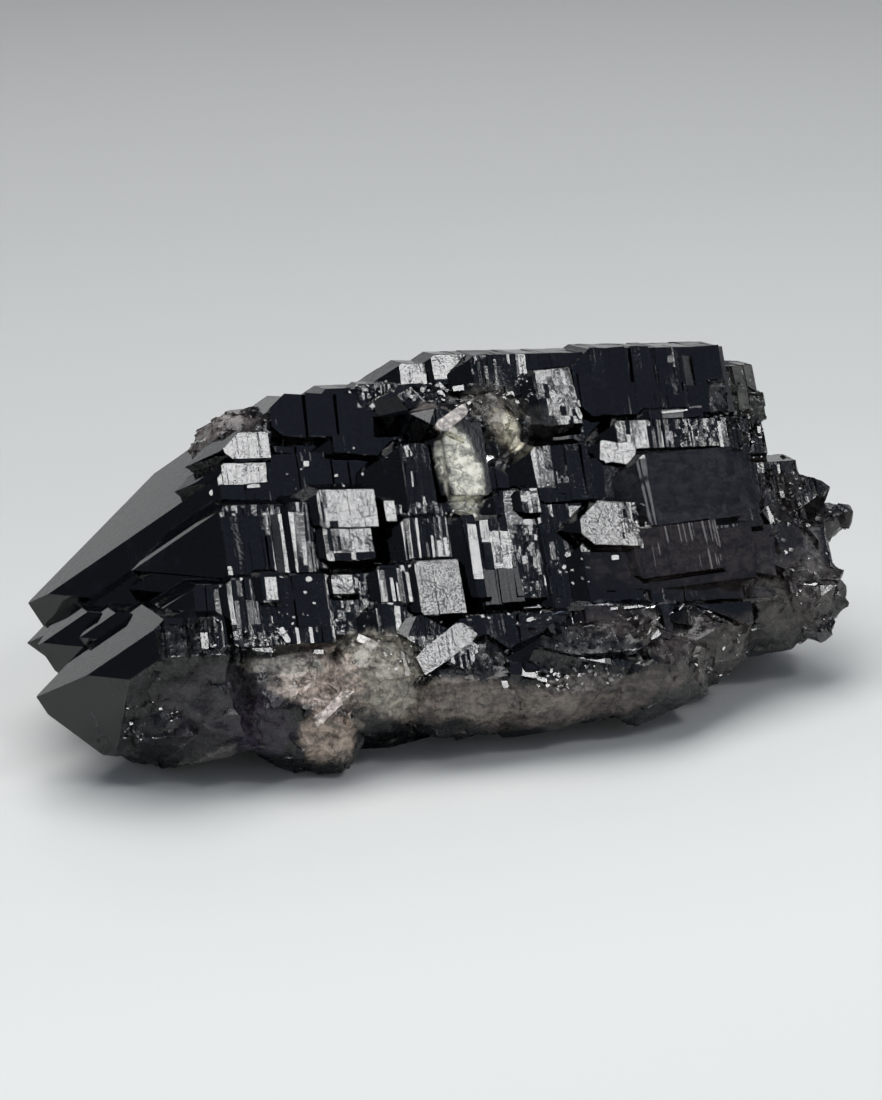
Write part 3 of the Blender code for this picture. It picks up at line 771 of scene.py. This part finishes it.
def is_broken(face):
    """True for the faces of broken ground, which look in no crystal direction."""
    middle = face.calc_center_median()
    if in_base(middle) and -middle.y / MM < BASE_LEVEL:
        return True
    if is_end(face.normal):
        return False
    if (is_prism(face.normal) or is_tip(face.normal)) and not broken_away(face):
        return False
    return in_rough(middle) > 0


def break_ground(bm):
    """Shatter the broken faces into small uneven facets."""
    rough = bm.faces.layers.float.new("rough")
    for face in bm.faces:
        face[rough] = 1.0 if is_broken(face) else 0.0
    for limit in GROUND_EDGES:
        edges = [
            e for e in bm.edges
            if e.calc_length() > limit * MM and all(f[rough] > 0.5 for f in e.link_faces)
        ]
        bmesh.ops.subdivide_edges(bm, edges=edges, cuts=1)
        broken = [f for f in bm.faces if f[rough] > 0.5]
        bmesh.ops.triangulate(bm, faces=broken)
    open_edges = [e for e in bm.edges if e.is_boundary]
    bmesh.ops.holes_fill(bm, edges=open_edges, sides=0)
    bm.normal_update()
    moves = {
        vert: vert.normal * shatter(vert.co)
        for vert in bm.verts
        if all(f[rough] > 0.5 for f in vert.link_faces)
    }
    for vert, move in moves.items():
        vert.co += move


def drop_scraps(bm):
    """Remove pairs of faces folded onto each other, and slivers that touch nothing else."""
    groups = {}
    for face in bm.faces:
        groups.setdefault(frozenset(face.verts), []).append(face)
    folded = [face for group in groups.values() if len(group) > 1 for face in group]
    bmesh.ops.delete(bm, geom=folded, context="FACES")
    left = set(bm.faces)
    while left:
        shell = [left.pop()]
        for face in shell:
            for edge in face.edges:
                near = left.intersection(edge.link_faces)
                left -= near
                shell += near
        if len(shell) < SCRAP_FACES:
            bmesh.ops.delete(bm, geom=shell, context="FACES")


def mark_surface(bm):
    """Note on each face how mottled and how dull it is, and smooth the broken ground."""
    rough = bm.faces.layers.float["rough"]
    mottle = bm.faces.layers.float.new("mottle")
    dull = bm.faces.layers.float.new("dull")
    for face in bm.faces:
        face.smooth = face[rough] > 0.5
        if is_prism(face.normal):
            *_, face[mottle], face[dull], _ = style_at(face.calc_center_median(), face.normal)
    for edge in bm.edges:
        edge.smooth = edge.calc_face_angle(math.pi) < math.radians(SHARP_EDGE)


def shatter(place):
    """How far a point of broken ground stands out, in metres: swells, then flat facets."""
    flow = Vector((place.x / 7.0, place.y / 1.6, place.z / 1.1)) / MM
    total = -0.22 + 0.45 * noise.noise(place / (5.0 * MM)) + 0.26 * noise.noise(flow)
    total += 0.20 * noise.noise(place / (1.7 * MM))
    for size, depth, tilt, shift in FACETS:
        spot = place / (size * MM) + Vector((shift, shift * 2, shift * 3))
        centre = noise.voronoi(spot)[1][0]
        lean = noise.cell_vector(centre * 7.3) * 2 - Vector((1, 1, 1))
        total += (noise.cell(centre * 5.1) * 2 - 1) * depth
        total += (spot - centre).dot(lean) * size * tilt
    return total * MM


def keep_inside(bm):
    """Hold the fine surface within the model's box and above the table."""
    low, high = cad_box
    back = LYING.inverted()
    for vert in bm.verts:
        place = LYING @ vert.co
        held = Vector(min(max(place[i], low[i]), high[i]) for i in range(3))
        if held != place:
            vert.co = back @ held


def node(tree, kind, **values):
    made = tree.nodes.new(kind)
    for key, value in values.items():
        setattr(made, key, value)
    return made


def maths(tree, operation, first, second=None, clamp=False):
    made = node(tree, "ShaderNodeMath", operation=operation, use_clamp=clamp)
    for socket, value in zip(made.inputs, (first, second)):
        if value is None:
            continue
        if isinstance(value, (int, float)):
            socket.default_value = value
        else:
            tree.links.new(value, socket)
    return made.outputs[0]


def times(tree, first, second):
    return maths(tree, "MULTIPLY", first, second)


def plus(tree, first, second):
    return maths(tree, "ADD", first, second)


def ramp(tree, value, low, high, to_low=0.0, to_high=1.0):
    made = node(tree, "ShaderNodeMapRange", interpolation_type="SMOOTHSTEP")
    tree.links.new(value, made.inputs["Value"])
    limits = {"From Min": low, "From Max": high, "To Min": to_low, "To Max": to_high}
    for name, number in limits.items():
        made.inputs[name].default_value = number
    return made.outputs["Result"]


def noise_node(tree, vector, scale, detail=4.0, rough=0.55):
    made = node(tree, "ShaderNodeTexNoise")
    tree.links.new(vector, made.inputs["Vector"])
    made.inputs["Scale"].default_value = scale
    made.inputs["Detail"].default_value = detail
    made.inputs["Roughness"].default_value = rough
    return made.outputs["Fac"]


def stretched(tree, vector, scale):
    made = node(tree, "ShaderNodeMapping")
    made.inputs["Scale"].default_value = scale
    tree.links.new(vector, made.inputs["Vector"])
    return made.outputs[0]


def mix_colour(tree, share, first, second):
    made = node(tree, "ShaderNodeMix", data_type="RGBA")
    tree.links.new(share, made.inputs[0])
    for socket, value in zip(made.inputs[6:8], (first, second)):
        if isinstance(value, tuple):
            socket.default_value = (*value, 1.0)
        else:
            tree.links.new(value, socket)
    return made.outputs[2]


def veils_and_painted_reflection(tree, coords, cloud, colour):
    """Lay the veils and the painted floor reflection over the quartz colour; returns the colour
    and how much they hide.
    """
    total = None
    for centre, half, turn, tint, strength in VEILS_AND_PAINTED_REFLECTION:
        place = node(tree, "ShaderNodeMapping", vector_type="TEXTURE")
        place.inputs["Location"].default_value = local(*centre)
        place.inputs["Rotation"].default_value = (0.0, math.radians(-turn), 0.0)
        place.inputs["Scale"].default_value = Vector((half[0], half[2], half[1])) * MM
        tree.links.new(coords, place.inputs["Vector"])
        length = node(tree, "ShaderNodeVectorMath", operation="LENGTH")
        tree.links.new(place.outputs[0], length.inputs[0])
        far = plus(tree, length.outputs["Value"], cloud)
        part = ramp(tree, far, *VEIL_EDGE, strength, 0.0)
        colour = mix_colour(tree, ramp(tree, far, *TINT_EDGE, 1.0, 0.0), colour, tint)
        total = part if total is None else maths(tree, "MAXIMUM", total, part)
    return colour, total


def crystal_coordinates(tree):
    """Places in the crystal axes, and how far a surface looks along the crystals."""
    coords = node(tree, "ShaderNodeTexCoord")
    place = node(tree, "ShaderNodeMapping", vector_type="TEXTURE")
    place.inputs["Location"].default_value = LYING.to_translation()
    place.inputs["Rotation"].default_value = LYING.to_euler()
    tree.links.new(coords.outputs["Object"], place.inputs["Vector"])
    along = node(tree, "ShaderNodeVectorMath", operation="DOT_PRODUCT")
    along.inputs[1].default_value = LYING.to_3x3() @ Vector((1, 0, 0))
    tree.links.new(coords.outputs["Normal"], along.inputs[0])
    return place.outputs[0], along.outputs["Value"]


def fine_relief(tree, place, along, mottle, rough):
    """The height of what is too fine for the mesh, in metres.

    Striations run across the long axis on the sides of the crystals, specks and swells lie on
    the mottled faces, and crumbs on the broken ground.
    """
    lines = noise_node(tree, stretched(tree, place, (1.0, 0.06, 0.06)), STRIATION, 1, 0.5)
    on_side = ramp(tree, maths(tree, "ABSOLUTE", along), *ON_SIDE)
    waves = noise_node(tree, place, PATCH, 0)
    lines = times(tree, lines, ramp(tree, waves, *WAVES))
    relief = times(tree, times(tree, lines, on_side), STRIATION_DEPTH * MM)
    specks = times(tree, noise_node(tree, place, SPECK, 1, 0.5), SPECK_DEPTH * MM)
    swell = times(tree, waves, SWELL_DEPTH * MM)
    relief = plus(tree, relief, times(tree, plus(tree, specks, swell), mottle))
    broken = noise_node(tree, place, CRUMB, 2, 0.7)
    crumbs = times(tree, times(tree, broken, rough), CRUMB_DEPTH * MM)
    return plus(tree, relief, crumbs)


def quartz():
    """Dark smoky quartz: clear and glossy, with pale veils and mottled growth faces."""
    material = bpy.data.materials.new("smoky_quartz")
    material.use_nodes = True
    tree = material.node_tree
    shader = tree.nodes["Principled BSDF"]
    place, along = crystal_coordinates(tree)

    rough = node(tree, "ShaderNodeAttribute", attribute_name="rough").outputs["Fac"]
    mottle = node(tree, "ShaderNodeAttribute", attribute_name="mottle").outputs["Fac"]
    satin = node(tree, "ShaderNodeAttribute", attribute_name="dull").outputs["Fac"]
    grain = noise_node(tree, place, GRAIN, 4, 0.7)
    patches = noise_node(tree, place, PATCH, 3, 0.65)

    # growth runs as streaks up the sides, and the veils as streaks along the crystals
    upward = stretched(tree, place, (1.0, 0.08, 0.08))
    streaks = noise_node(tree, upward, GRAIN, 2, 0.6)
    flow = noise_node(tree, stretched(tree, place, (0.22, 1.0, 1.0)), GRAIN, 3, 0.65)

    # colour: veils and a painted floor reflection, mottled by the grain, with dark cracks where
    # the patches meet
    uneven = maths(tree, "SUBTRACT", patches, 0.5)
    colour, veil_and_reflection = veils_and_painted_reflection(tree, place, times(tree, uneven, 1.1), QUARTZ_TINT)
    veil_and_reflection = maths(tree, "MAXIMUM", veil_and_reflection, ramp(tree, times(tree, streaks, patches), *HAZE))
    shade = plus(tree, times(tree, grain, 0.8), times(tree, flow, 0.6))
    shade = ramp(tree, shade, *SHADE)
    cracks = ramp(tree, maths(tree, "ABSOLUTE", uneven), *CRACKS)
    tinted = node(tree, "ShaderNodeVectorMath", operation="SCALE")
    tree.links.new(colour, tinted.inputs[0])
    tree.links.new(times(tree, shade, cracks), tinted.inputs["Scale"])
    tree.links.new(tinted.outputs[0], shader.inputs["Base Color"])
    tree.links.new(ramp(tree, veil_and_reflection, 0.0, 1.0, 1.0, 0.0), shader.inputs["Transmission Weight"])

    # gloss: broken and chalky places are sugary, growth faces slightly mottled or satin
    chalky = ramp(tree, veil_and_reflection, *CHALKY)
    dull = times(tree, maths(tree, "MAXIMUM", rough, chalky), ramp(tree, grain, *SUGAR))
    dull = plus(tree, dull, times(tree, times(tree, mottle, grain), MOTTLED_ROUGHNESS))
    dull = plus(tree, dull, times(tree, satin, SATIN_ROUGHNESS))
    gloss = maths(tree, "ADD", dull, POLISH, clamp=True)
    tree.links.new(gloss, shader.inputs["Roughness"])
    shader.inputs["IOR"].default_value = QUARTZ_IOR

    bump = node(tree, "ShaderNodeBump")
    bump.inputs["Strength"].default_value = 1.0
    bump.inputs["Distance"].default_value = 1.0
    height = fine_relief(tree, place, along, mottle, rough)
    tree.links.new(height, bump.inputs["Height"])
    tree.links.new(bump.outputs[0], shader.inputs["Normal"])

    smoke = node(tree, "ShaderNodeVolumeAbsorption")
    smoke.inputs["Color"].default_value = SMOKE_COLOUR
    smoke.inputs["Density"].default_value = SMOKE_DENSITY
    tree.links.new(smoke.outputs[0], tree.nodes["Material Output"].inputs["Volume"])
    return material


def make_cluster():
    bm = cad_solid()
    split_low_point(bm)
    grow_steps(bm)
    bm = grow_shards(bm)
    break_ground(bm)
    keep_inside(bm)
    bm.normal_update()
    mark_surface(bm)
    bmesh.ops.triangulate(bm, faces=[f for f in bm.faces if len(f.verts) > 4])
    drop_scraps(bm)
    bmesh.ops.transform(bm, matrix=LYING, verts=bm.verts)
    piece = to_object(bm, "smoky_quartz")
    piece.data.materials.append(quartz())
    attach(piece, "root")
    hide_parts("smoky_quartz_cluster")
    return piece


def floor():
    """A pale table, its colour darkened gently towards the back as painted shade.

    It lies a hair below the specimen, so that no two faces share a plane.
    """
    bpy.ops.mesh.primitive_plane_add(size=12.0, location=(0, 0, -0.05 * MM))
    table = bpy.context.object
    table.name = "floor"
    material = bpy.data.materials.new("pale_floor")
    material.use_nodes = True
    tree = material.node_tree
    shader = tree.nodes["Principled BSDF"]
    shader.inputs["Roughness"].default_value = 1.0
    shader.inputs["Specular IOR Level"].default_value = 0.0
    coords = node(tree, "ShaderNodeTexCoord")
    parts = node(tree, "ShaderNodeSeparateXYZ")
    tree.links.new(coords.outputs["Object"], parts.inputs[0])
    # painted shade: the colour darkens from 0.09 m in front of the middle to 0.60 m behind it
    depth = plus(tree, parts.outputs["Y"], 0.09)
    depth = maths(tree, "DIVIDE", depth, 0.69, clamp=True)
    shades = node(tree, "ShaderNodeValToRGB")
    tree.links.new(depth, shades.inputs["Fac"])
    stops = shades.color_ramp.elements
    stops[0].color = FLOOR_NEAR
    stops[1].color = FLOOR_FAR_PAINTED_SHADE
    for place, grey in FLOOR_BETWEEN:
        stops.new(place).color = (grey * 0.985, grey, grey * 0.965, 1.0)
    tree.links.new(shades.outputs["Color"], shader.inputs["Base Color"])
    table.data.materials.append(material)


def area_light(name, place, size, radiance, colour=(1.0, 1.0, 1.0)):
    """A flat soft light that looks at the specimen. Radiance is how bright its face looks."""
    data = bpy.data.lights.new(name, "AREA")
    data.shape = "RECTANGLE"
    data.size, data.size_y = size
    data.energy = radiance * math.pi * size[0] * size[1]
    data.color = colour
    light = bpy.data.objects.new(name, data)
    light.location = place
    look = Vector((0.0, 0.0, 0.02)) - Vector(place)
    light.rotation_euler = look.to_track_quat("-Z", "Y").to_euler()
    bpy.context.scene.collection.objects.link(light)
    return light


def studio():
    area_light("window_light", toward(*WINDOW_LIGHT), (0.17, 0.17), 10.8)
    area_light("window_halo", toward(*HALO_LIGHT), (0.38, 0.38), 2.3)
    area_light("window_frame", toward(*FRAME_LIGHT), (1.0, 0.8), 0.16, (0.55, 0.70, 1.0))
    area_light("overhead", OVERHEAD_PLACE, (1.2, 0.8), 3.4)
    area_light("back_window", toward(*BACK_LIGHT), (0.30, 0.30), 4.0)

    world = bpy.data.worlds.new("studio")
    bpy.context.scene.world = world
    world.use_nodes = True
    tree = world.node_tree
    sky = tree.nodes["Background"]
    coords = node(tree, "ShaderNodeTexCoord")
    parts = node(tree, "ShaderNodeSeparateXYZ")
    tree.links.new(coords.outputs["Generated"], parts.inputs[0])
    height = ramp(tree, parts.outputs["Z"], 0.05, 0.45)
    colour = mix_colour(tree, height, SKY_LOW, SKY_HIGH)
    tree.links.new(colour, sky.inputs["Color"])


def camera():
    data = bpy.data.cameras.new("photo_view")
    data.lens = CAMERA_LENS
    data.sensor_width = 36.0
    data.clip_start = 0.01
    view = bpy.data.objects.new("photo_view", data)
    view.location = Vector(CAMERA_PLACE) * MM
    view.rotation_euler = (
        math.radians(90 - CAMERA_ELEVATION), 0.0, math.radians(CAMERA_AZIMUTH)
    )
    bpy.context.scene.collection.objects.link(view)
    bpy.context.scene.camera = view


make_cluster()
floor()
studio()
camera()
bpy.context.scene.view_settings.view_transform = "Standard"
